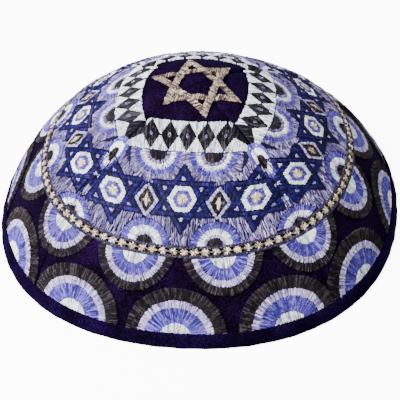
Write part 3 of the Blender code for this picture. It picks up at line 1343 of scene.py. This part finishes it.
        reach = QUARTER / 2 * float(self.sampler.cloth.radius(foot))
        across = np.arange(-reach, reach, needle.pitch)
        rows = ((Thread.WHITE, top, middle), (Thread.WHITE, middle, foot), (Thread.JET, top, foot))
        for thread, *runs in rows:
            black = thread is Thread.JET
            ends = [np.stack([across, np.full_like(across, run)], axis=-1) for run in runs]
            lot = needle.rough(rng, np.stack(ends, axis=1))
            lot = lot.trimmed(
                lambda a, r, wanted=black: in_gore(a, r) & (dark(a, r) == wanted),
                samples=self.tooth_samples,
            )
            self.lay("sawtooth", thread, lot.broken(rng, needle.longest), centre)
        wide, tall = self.tooth_eye
        shape = np.array([[0.0, -tall], [wide, 0.0], [0.0, tall], [-wide, 0.0]])
        for index in range(-self.teeth_aside, self.teeth_aside + 1):
            eye = needle.line(rng, shape * rng.uniform(*self.tooth_eye_sizes), step=0.7)
            eye = eye.moved(index * self.tooth_pitch, middle)
            self.lay("sawtooth_eyes", Thread.MAUVE, eye, centre, lift=0.28, girth=0.8)

    def seam_eyes(self, rng: Chance, centre: float) -> None:
        """Lay the narrow half rings on both seams, between the upper scallops."""
        needle = self.sampler.needle
        for side in (-1, 1):
            inner = self.hollow
            for outer, thread in zip(self.eye_radii, self.eye_threads):
                lot = needle.ring(rng, inner, outer, Facing.TO_RIM, self.whole_turn)
                run = self.eye_run + lot.ends[..., 1]
                across = side * self.sampler.to_seam(lot.ends[..., 0] * self.eye_narrowing, run)
                lot = Stitches(np.stack([across, run], axis=-1), lot.tint)
                self.lay("seam_eyes", thread, lot.trimmed(self.sampler.in_gore, self.shortest), centre)
                inner = outer

    def scallops(self, rng: Chance, centre: float) -> None:
        """Lay the half-rings on the field's upper and lower edges."""
        needle = self.sampler.needle
        inside_gore = self.sampler.in_gore
        rows = (
            ("upper_scallops", self.upper_spots, self.upper_radii, self.upper_threads, Facing.TO_RIM),
            ("lower_scallops", self.lowers, self.lower_radii, self.lower_threads, Facing.TO_CROWN),
        )

        def free(across: Array, run: Array) -> Array:
            """Places that the outermost rings may cover."""
            return inside_gore(across, run) & self.clear_of_motifs(across, run, False)

        for band, spots, radii, threads, facing in rows:
            for spot in spots:
                inner = 0.0
                for outer, thread in zip(radii, threads):
                    lot = needle.round_row(rng, inner, outer, facing).moved(*spot)
                    if outer > self.crowded_radius:
                        lot = lot.trimmed(
                            lambda a, r, x=spot[0]: free(a, r) & (np.abs(a - x) < self.ring_reach)
                        )
                    else:
                        lot = lot.trimmed(inside_gore)
                    self.lay(band, thread, lot, centre)
                    inner = outer
                # A broken navy arc just outside the lavender ring is painted shade for the dark gap between
                # rings.
                edge = needle.arc(rng, self.shade_line_radius, facing, spread=90.0).moved(*spot)
                edge = edge.trimmed(inside_gore, self.shortest)
                self.lay("scallop_edges", Thread.NAVY, edge, centre, lift=0.1, girth=0.7)

    def star(self, rng: Chance, centre: float, spot: Array) -> None:
        """Lay one six-pointed star with its hexagon."""
        needle = self.sampler.needle
        within = self.sampler.in_gore
        middle_radius = self.star_radius - self.star_bar
        for first in self.star_firsts:
            outline = spot + polygon(3, self.star_radius, first)
            for here, there in sides_of(spot + polygon(3, middle_radius, first)):
                reach = heading(here, there)[0] * self.star_bar
                lot = needle.bar(rng, here - reach, there + reach, self.star_bar)
                lot = lot.trimmed(lambda a, r, o=outline: within(a, r) & inside(o, a, r), self.shortest)
                self.lay("stars", Thread.ROYAL, lot, centre, lift=0.12)
            # Navy running stitches along each triangle's outer and inner bar edges are painted shade at the
            # bars' edges.
            for radius in (self.star_radius + self.shade_line_gap, self.star_radius - 2 * self.star_bar):
                lot = needle.line(rng, spot + polygon(3, radius, first)).trimmed(within)
                self.lay("star_edges", Thread.NAVY, lot, centre, lift=0.26, girth=1.15)
        tips = (
            ("stars", Thread.ROYAL, self.star_nest_side, 0.0, 1.0),
            ("star_tips", Thread.LILAC, self.star_tip_side, 0.22, 0.9),
        )
        for index in range(6):
            turn = math.radians(-90 + index * 60)
            tip = spot + self.star_tip_reach * np.array([math.cos(turn), math.sin(turn)])
            for band, thread, side, lift, girth in tips:
                corners = tip + polygon(3, side / math.sqrt(3), -90 + index * 60)
                lot = needle.fill(rng, corners, 60.0 * index).trimmed(within, self.shortest)
                self.lay(band, thread, lot, centre, lift, girth)
        threads = (Thread.LAVENDER, Thread.WHITE)
        for inner, outer, thread in zip(self.hexagon_radii, self.hexagon_radii[1:], threads):
            near = polygon(6, inner, 0.0)
            far = polygon(6, outer, 0.0)
            for index in range(6):
                after = (index + 1) % 6
                corners = spot + np.array([near[index], far[index], far[after], near[after]])
                lot = needle.fill(rng, corners, 60.0 * index + 120.0).trimmed(within)
                self.lay("hexagons", thread, lot, centre, lift=0.22)
        lot = needle.ring(rng, self.hollow, self.hexagon_radii[0], Facing.TO_RIM, self.whole_turn)
        self.lay("hexagons", Thread.CREAM, lot.moved(*spot).trimmed(within), centre, lift=0.34)

    def diamond(self, rng: Chance, centre: float, spot: Array) -> None:
        """Lay one diamond of three nested threads."""
        needle = self.sampler.needle
        within = self.sampler.in_gore
        sizes = self.diamond_sizes
        threads = self.diamond_threads
        whole = np.array([[0, -1], [1, 0], [0, 1], [-1, 0]])
        for size, thread, lift in reversed(list(zip(sizes, threads, self.diamond_lifts))):
            lot = needle.fill(rng, spot + whole * size).trimmed(within)
            self.lay("diamonds", thread, lot, centre, lift)
        for small, large, thread, lift in zip(sizes, sizes[1:], threads[1:], self.diamond_rises):
            for side, way in ((-1, -1), (-1, 1), (1, -1), (1, 1)):
                inner, outer = np.diag(small) * (side, way), np.diag(large) * (side, way)
                corners = spot + np.array([inner[1], outer[1], outer[0], inner[0]])
                lean = -side * way * math.degrees(math.atan2(large[1], large[0]))
                lot = needle.fill(rng, corners, lean).trimmed(within)
                self.lay("diamonds", thread, lot, centre, lift)

    def lilac_field(self, rng: Chance, centre: float) -> None:
        """Fill what is left with stitches that run down the cap."""
        cloth = self.sampler.cloth
        step = self.sampler.needle.pitch / float(cloth.radius(self.star_run))
        turns = np.arange(-QUARTER / 2, QUARTER / 2, step)
        runs = np.arange(self.upper_run, self.lower_run, self.run_step)
        across = turns[:, None] * cloth.radius(runs)[None]
        run = np.broadcast_to(runs, across.shape)
        free = self.sampler.in_gore(across, run) & self.clear_of_motifs(across, run, True)
        ends = []
        for column, turn in enumerate(turns):
            begin = None
            limit = rng.uniform(*self.first_lengths) * self.longest
            for row, run_here in enumerate(runs):
                if free[column, row] and begin is None:
                    begin = run_here
                stop = begin is not None and (
                    not free[column, row] or run_here - begin > limit or row == len(runs) - 1
                )
                if stop:
                    if run_here - begin > self.shortest_field and rng.random() > self.missing:
                        pair = [[turn * float(cloth.radius(r)), r] for r in (begin, run_here)]
                        ends.append(pair)
                    begin = run_here if free[column, row] else None
                    limit = rng.uniform(*self.lengths) * self.longest
        lot = self.sampler.needle.rough(rng, np.array(ends), self.drift)
        lot = lot.ragged(rng, along=0.1, aside=self.stray)
        low, high = self.royal_band
        halfway = lot.ends[..., 1].mean(axis=1)
        royal = (halfway > low) & (halfway < high)
        self.lay("field", Thread.ROYAL, lot.kept(royal), centre)
        self.lay("field", Thread.MAUVE, lot.kept(~royal), centre)
        over = np.array(ends)[rng.random(len(ends)) < self.overlay_share]
        over = over + rng.normal(0, self.overlay_shift, (len(over), 1, 2))
        halfway = over[..., 1].mean(axis=1)
        over = over[(halfway < low) | (halfway > high)]
        lot = Stitches(over, rng.uniform(0, 1, len(over)))
        lot = lot.ragged(rng, along=0.2, aside=2 * self.stray)

        def free_field(across: Array, run: Array) -> Array:
            """Places that the loose stitches may cover."""
            clear = self.clear_of_motifs(across, run, True) & (run < self.lower_run)
            return self.sampler.in_gore(across, run) & clear

        self.lay("field", Thread.MAUVE, lot.trimmed(free_field), centre, lift=0.14, girth=0.8)

    def build(self) -> None:
        """Lay the whole pattern on each gore."""
        for index in range(len(GORES)):
            rng = np.random.default_rng(self.seed + index)
            centre = index * QUARTER
            self.sawtooth(rng, centre)
            self.seam_eyes(rng, centre)
            self.scallops(rng, centre)
            for spot in self.stars:
                self.star(rng, centre, spot)
            for spot in self.diamonds:
                self.diamond(rng, centre, spot)
            self.lilac_field(rng, centre)


@dataclass
class LowerScallops:
    """The half-rings that hang from the braid and those that stand on the binding."""

    sampler: Sampler
    grounds: PadGrounds
    slot: str = "scallop_thread"
    seed: int = 700
    edge_gap: float = 0.05
    # How far the navy lines of painted shade sit outside their rings' edges.
    shade_line_gap: float = 0.1
    rows: tuple[ScallopRow, ...] = (
        ScallopRow("hanging_scallop", 78.93, 0.7, (5.2, 10.0, 12.7, 16.1), Facing.TO_RIM, 15.0),
        ScallopRow(
            name="rim_scallop",
            edge=109.9,
            drop=2.1,
            radii=(6.7, 12.9, 15.9, 20.9),
            facing=Facing.TO_CROWN,
            shifts=(0.0, 0.9, -2.4, 0.0, 0.5, -0.6, 0.4, -0.5, 0.6, -0.4, 1.4, 0.0),
        ),
    )
    threads: tuple[Thread, ...] = (Thread.WHITE, Thread.LAVENDER, Thread.LILAC, Thread.CHARCOAL)

    def row(self, row: ScallopRow) -> None:
        """Lay one row of scallops on their pads."""
        needle = self.sampler.needle
        facing = row.facing
        centre_run = row.edge - facing.value * row.drop
        spread = 90.0 + math.degrees(math.asin(min(1.0, row.drop / row.radii[0])))

        def lay(
            band: str, thread: Thread, lot: Stitches, angle: float, lift: float = 0.0, girth: float = 1.0
        ) -> None:
            """Lay stitches on the scallop's own side of its edge."""
            lot = lot.moved(0.0, centre_run)
            lot = lot.trimmed(lambda a, r: facing.value * (r - row.edge) > self.edge_gap)
            self.sampler.add(f"{row.name}{band}", thread, self.slot, lot, angle, False, lift, girth)

        nodes = [f"{row.name}_{index + 1:02d}" for index in range(len(row.shifts))]
        pads = []
        for index, shift in enumerate(row.shifts):
            rng = np.random.default_rng(self.seed + index + int(row.edge))
            angle = math.radians(index * 360 / len(nodes) + row.first + shift)
            pads.append(self.grounds.scallop(f"{nodes[index]}_ground", angle, row))
            inner = 0.0
            for outer, thread in zip(row.radii, self.threads):
                lay("s", thread, needle.round_row(rng, inner, outer, facing, spread), angle)
                inner = outer
            # Broken navy arcs just outside the two inner rings are painted shade for the dark gaps between
            # rings.
            for radius in row.radii[:2]:
                lot = needle.arc(rng, radius + self.shade_line_gap, facing, spread)
                lay("_edges", Thread.NAVY, lot, angle, lift=0.05, girth=0.6)
        finish_piece(joined(f"{row.name}_grounds", pads), self.slot, *nodes)

    def build(self) -> None:
        """Lay both rows."""
        for row in self.rows:
            self.row(row)


@dataclass
class CouchedBraid:
    """The metallic plait round the crown, and the dark cords along it."""

    sampler: Sampler
    run: float = 76.53
    lobes: int = 98
    steps: int = 10
    sway: float = 0.5
    weave: float = 0.3
    lift: float = 0.8
    strand_half: tuple[float, float] = (0.2, 0.24)
    strand_sides: int = 6
    strand_seed: int = 40
    strand_tint: tuple[float, float] = (0.22, 0.15)
    lobe_seed: int = 47
    rays: int = 12
    ray_stray: float = 0.16
    ray_sizes: tuple[float, float] = (0.86, 1.14)
    ray_start: float = 0.16
    ray_tints: tuple[float, float] = (0.05, 1.0)
    lobe_half: tuple[float, float] = (1.58, 1.4)
    lobe_lift: float = 0.5
    ray_girth: float = 0.9
    thread_shares: tuple[float, float, float] = (0.5, 0.28, 0.22)
    cord_runs: tuple[tuple[str, float], ...] = (("upper", 74.75), ("lower", 78.31))
    cord_lift: float = 0.66
    cord_twists: int = 150
    cord_steps: int = 6
    cord_sway: float = 0.42
    cord_rise: float = 0.2
    cord_ply: tuple[float, float] = (0.46, 0.46)
    cord_sides: int = 5
    cord_seed: int = 60
    cord_tint: tuple[float, float] = (0.45, 0.3)

    @property
    def cloth(self) -> CapCloth:
        """The cloth that the plait lies on."""
        return self.sampler.cloth

    def lobe_stitches(self) -> None:
        """Lay a small burst of metallic stitches over each lobe of the plait."""
        rng = np.random.default_rng(self.lobe_seed)
        threads = (Thread.CREAM, Thread.GILT, Thread.SILVER)
        for index in range(self.lobes):
            angle = 2 * math.pi * (index + 0.5) / self.lobes
            turns = np.linspace(0, 2 * math.pi, self.rays, endpoint=False)
            turns = turns + rng.normal(0, self.ray_stray, self.rays)
            way = np.stack([self.lobe_half[0] * np.cos(turns), self.lobe_half[1] * np.sin(turns)], -1)
            way *= rng.uniform(*self.ray_sizes, self.rays)[:, None]
            ends = np.stack([self.ray_start * way, way], axis=1) + np.array([0.0, self.run])
            pick = rng.choice(len(threads), self.rays, p=self.thread_shares)
            for number, thread in enumerate(threads):
                mine = ends[pick == number]
                rays = Stitches(mine, rng.uniform(*self.ray_tints, len(mine)))
                self.sampler.add(
                    "braid_lobes", thread, "metal_thread", rays, angle, False, self.lobe_lift, self.ray_girth
                )

    def tube(
        self,
        name: str,
        path: Array,
        up: Array,
        half: tuple[float, float],
        sides: int,
        thread: Thread,
    ) -> Piece:
        """Sweep an oval thread along a closed path.

        Args:
            name: The piece's name.
            path: The centres, one row each.
            up: The direction out of the velvet at each centre.
            half: The oval's half-width and half-height.
            sides: How many points the oval has.
            thread: The thread that it is made of.

        Returns:
            The closed ring of thread.
        """
        way = np.roll(path, -1, axis=0) - np.roll(path, 1, axis=0)
        way /= np.linalg.norm(way, axis=1)[:, None]
        side = np.cross(up, way) * half[0]
        top = up * half[1]
        turns = (np.arange(sides) * 2 * math.pi / sides)[None, :, None]
        points = path[:, None] + side[:, None] * np.cos(turns) + top[:, None] * np.sin(turns)
        return closed_object(name, points, grid_faces(len(path), sides, 0, True, True), thread.material)

    def tinted(self, piece: Piece, seed: int, tint: tuple[float, float]) -> Piece:
        """Speckle a piece's tint round a middle value, by a spread."""
        rng = np.random.default_rng(seed)
        put_tint(piece, np.clip(rng.normal(*tint, len(piece.data.vertices)), 0, 1))
        return piece

    def strand(self, index: int, thread: Thread) -> Piece:
        """Make one of the two strands that cross between the lobes."""
        angle = np.linspace(0, 2 * math.pi, self.lobes * self.steps, endpoint=False)
        phase = self.lobes * angle / 2 + index * math.pi
        run = self.run + self.sway * np.sin(phase)
        path = self.cloth.place(angle, run, self.lift + self.weave * np.cos(phase))
        up = self.cloth.outward(angle, run)
        piece = self.tube(f"braid_strand_{index + 1}", path, up, self.strand_half, self.strand_sides, thread)
        return self.tinted(piece, self.strand_seed + index, self.strand_tint)

    def cord(self, name: str, run: float) -> Piece:
        """Make one twisted dark cord."""
        angle = np.linspace(0, 2 * math.pi, self.cord_twists * self.cord_steps, endpoint=False)
        up = self.cloth.outward(angle, np.full_like(angle, run))
        plies = []
        for ply in range(2):
            phase = self.cord_twists * angle + ply * math.pi
            lift = self.cord_lift + self.cord_rise * np.sin(phase)
            path = self.cloth.place(angle, run + self.cord_sway * np.cos(phase), lift)
            piece = self.tube(f"cord_{name}_{ply}", path, up, self.cord_ply, self.cord_sides, Thread.DUSK)
            plies.append(self.tinted(piece, self.cord_seed + ply, self.cord_tint))
        return joined(f"edge_cord_{name}_twisted", plies)

    def build(self) -> None:
        """Make the plait and both cords."""
        threads = (Thread.GILT, Thread.SILVER)
        strands = [self.strand(index, thread) for index, thread in enumerate(threads)]
        self.lobe_stitches()
        finish_piece(joined("metallic_plait", strands), "metal_thread", "braid")
        for name, run in self.cord_runs:
            finish_piece(self.cord(name, run), "cord_thread", f"edge_cord_{name}")


@dataclass
class CrownStar:
    """The metallic star on the bare velvet crown."""

    sampler: Sampler
    tips: tuple[tuple[float, float], ...] = (
        (20.5, 19.0),
        (21.7, 70.0),
        (20.6, 139.8),
        (22.6, 193.5),
        (21.0, 250.8),
        (17.3, 314.4),
    )
    bar: float = 3.3
    pad_steps: int = 41
    pad_sides: int = 14
    pad_inset: float = 0.35
    pad_lift: float = 0.45
    pad_half: float = 0.36
    pad_tint: float = 0.1
    girth: float = 0.44
    thread_pitch: float = 0.4
    thread_inset: float = 0.3
    thread_slant: float = 20.0
    thread_bite: float = 0.9
    thread_lift: float = 0.9
    over_lift: float = 0.1
    shortest: float = 0.3
    closed_tips: tuple[int, ...] = (2, 5)
    tip_inset: float = 1.5
    tip_shoulder: float = 0.55
    tip_half: float = 0.3
    tip_lean: float = 60.0
    seed: int = 9

    def to_cap(self, flat: Array) -> tuple[Array, Array]:
        """Turn plan places into angles and runs.

        Args:
            flat: Places on the crown's plan, the first axis towards +X.

        Returns:
            The angles and the runs.
        """
        return np.arctan2(flat[..., 0], -flat[..., 1]), np.hypot(flat[..., 0], flat[..., 1])

    def triangle(self, first: int, inset: float) -> Array:
        """The corners of one of the star's triangles on the plan, drawn in by an inset."""
        table = np.array(self.tips)[first::2]
        turns = np.radians(table[:, 1])
        return (table[:, :1] - inset) * np.stack([np.sin(turns), -np.cos(turns)], axis=-1)

    def bar_pad(self, here: Array, there: Array, name: str) -> Piece:
        """Make the rounded pad under one bar."""
        cloth = self.sampler.cloth
        beside = heading(here, there)[1]
        along = np.linspace(0, 1, self.pad_steps)
        turns = np.linspace(0, 2 * math.pi, self.pad_sides, endpoint=False)
        middle = here + (there - here) * along[:, None]
        half = self.bar / 2 - self.pad_inset
        angle, run = self.to_cap(middle[:, None] + beside * half * np.cos(turns)[None, :, None])
        points = cloth.place(angle, run, self.pad_lift + self.pad_half * np.sin(turns)[None])
        count = len(turns)
        faces = grid_faces(len(along), count, 0, False, True)
        faces.append(tuple(range(count)))
        faces.append(tuple(range((len(along) - 1) * count, len(along) * count)))
        piece = closed_object(name, points, faces, Thread.CHAMPAGNE.material)
        put_tint(piece, np.full(len(piece.data.vertices), self.pad_tint))
        return piece

    def lay(self, lot: Stitches, lift: float) -> None:
        """Lay stitches drawn on the crown's plan."""
        cloth = self.sampler.cloth
        halfway = lot.ends.mean(axis=1, keepdims=True)
        angle, run = self.to_cap(np.concatenate([lot.ends, halfway], axis=1))
        points = cloth.place(angle, run, np.full_like(run, lift))
        way = points[:, 1] - points[:, 0]
        length = np.linalg.norm(way, axis=1)
        count = len(length)
        girth = np.full(count, self.girth)
        reach = np.stack([length, girth, girth], axis=-1)
        spots = {
            "centre": points[:, 2] * MM,
            "lay": way / length[:, None],
            "up": cloth.outward(angle[:, 2], run[:, 2]),
            "reach": reach * MM,
            "tint": lot.tint,
        }
        key = ("crown_star", Thread.CHAMPAGNE, "star_thread")
        self.sampler.lots.setdefault(key, []).append(spots)

    def build(self) -> None:
        """Make the star's pads and stitches."""
        rng = np.random.default_rng(self.seed)
        needle = Needle(pitch=self.thread_pitch)
        pads = []
        for order in range(2):
            corners = self.triangle(order, self.bar)
            outline = self.triangle(order, 0.0)
            for index, (here, there) in enumerate(sides_of(corners)):
                pads.append(self.bar_pad(here, there, f"star_pad_{order}_{index}"))
                reach = heading(here, there)[0] * self.bar
                width = self.bar - self.thread_inset
                lot = needle.bar(rng, here - reach, there + reach, width, self.thread_slant)
                lot = lot.trimmed(lambda a, r, o=outline: inside(o, a, r), self.shortest)
                self.lay(lot.broken(rng, self.thread_bite), self.thread_lift + self.over_lift * order)
        for tip in self.closed_tips:
            radius, turn = self.tips[tip]
            way = np.array([math.sin(math.radians(turn)), -math.cos(math.radians(turn))])
            beside = np.array([-way[1], way[0]]) * (self.tip_half * radius)
            shoulder = way * self.tip_shoulder * radius
            corners = np.array([way * (radius - self.tip_inset), shoulder + beside, shoulder - beside])
            outline = self.triangle(tip % 2, 0.0)
            lot = needle.fill(rng, corners, turn + self.tip_lean)
            lot = lot.trimmed(lambda a, r, o=outline: inside(o, a, r), self.shortest)
            self.lay(lot.broken(rng, self.thread_bite), self.thread_lift)
        finish_piece(joined("crown_star_padding", pads), "star_thread", "crown_star")


@dataclass
class Studio:
    """The pale floor, the soft lights and the camera."""

    target: tuple[float, float, float] = (4.6, -32.2, 30.15)
    elevation: float = 42.194
    azimuth: float = 7.969
    distance: float = 519.76
    roll: float = -2.31
    focal_pixels: float = 1243.5
    frame_pixels: float = 400.0
    sensor: float = 36.0
    paper_glow: float = 9.0
    paper_shade: float = 0.92
    paper_roughness: float = 0.8
    paper_half: float = 3000.0
    paper_drop: float = 0.05
    sky_glow: float = 0.95
    aim: tuple[float, float, float] = (0.0, 0.0, 0.03)

    def camera(self) -> None:
        """Stand the camera where the photograph was taken from."""
        lift, around, roll = (math.radians(v) for v in (self.elevation, self.azimuth, self.roll))
        back = Vector(
            (
                math.sin(around) * math.cos(lift),
                -math.cos(around) * math.cos(lift),
                math.sin(lift),
            )
        )
        level = Vector((math.cos(around), math.sin(around), 0))
        upright = back.cross(level)
        right = math.cos(roll) * level + math.sin(roll) * upright
        up = -math.sin(roll) * level + math.cos(roll) * upright
        place = (Vector(self.target) + back * self.distance) * MM
        turn = Matrix((right, up, back)).transposed().to_4x4()
        data = bpy.data.cameras.new("camera")
        data.sensor_width = self.sensor
        data.lens = self.focal_pixels / self.frame_pixels * self.sensor
        data.clip_start = 0.01
        data.clip_end = 20
        camera = bpy.data.objects.new("camera", data)
        camera.matrix_world = Matrix.Translation(place) @ turn
        bpy.context.scene.collection.objects.link(camera)
        bpy.context.scene.camera = camera

    def lamp(self, name: str, spot: Colour, size: float, power: float, shade: Colour) -> None:
        """Hang one square soft light that points at the cap."""
        data = bpy.data.lights.new(name, "AREA")
        data.shape = "SQUARE"
        data.size = size
        data.energy = power
        data.color = linear(shade)[:3]
        lamp = bpy.data.objects.new(name, data)
        lamp.location = spot
        aim = Vector(self.aim) - Vector(spot)
        lamp.rotation_euler = aim.to_track_quat("-Z", "Y").to_euler()
        bpy.context.scene.collection.objects.link(lamp)

    def floor(self) -> None:
        """Lay the pale floor."""
        half = self.paper_half
        flat = ((-half, -half), (half, -half), (half, half), (-half, half))
        corners = [(x, y, -self.paper_drop) for x, y in flat]
        floor = mesh_object("studio_floor", corners, [(0, 1, 2, 3)], False)
        inputs = {
            "Base Color": (self.paper_shade,) * 3 + (1,),
            "Roughness": self.paper_roughness,
            "Emission Color": (1, 1, 1, 1),
            "Emission Strength": self.paper_glow,
        }
        floor.data.materials.append(Recipe("pale_paper").finished(inputs))
        floor.visible_diffuse = False
        floor.visible_glossy = False

    def build(self) -> None:
        """Set the studio up."""
        self.camera()
        self.floor()
        world = bpy.data.worlds.new("soft_room")
        bpy.context.scene.world = world
        world.use_nodes = True
        sky = world.node_tree.nodes["Background"]
        wire(world.node_tree, sky, {"Color": (1, 1, 1, 1), "Strength": self.sky_glow})
        self.lamp("key_light", (-0.6, -0.4, 0.8), 0.4, 46.0, (255, 252, 248))
        self.lamp("fill_light", (0.7, -0.6, 0.5), 0.8, 3.0, (248, 250, 255))


def main() -> None:
    """Build the studio and the cap, sub-assembly by sub-assembly."""
    logging.basicConfig(level=logging.INFO, format="%(name)s: %(message)s")
    Studio().build()
    cloth = CapCloth()
    VelvetCrown(cloth).build()
    grounds = PadGrounds(cloth)
    grounds.build()
    sampler = Sampler(cloth, StrandTree())
    FieldPattern(sampler).build()
    LowerScallops(sampler, grounds).build()
    CrownStar(sampler).build()
    CouchedBraid(sampler).build()
    sampler.sew()


if __name__ == "__main__":
    main()
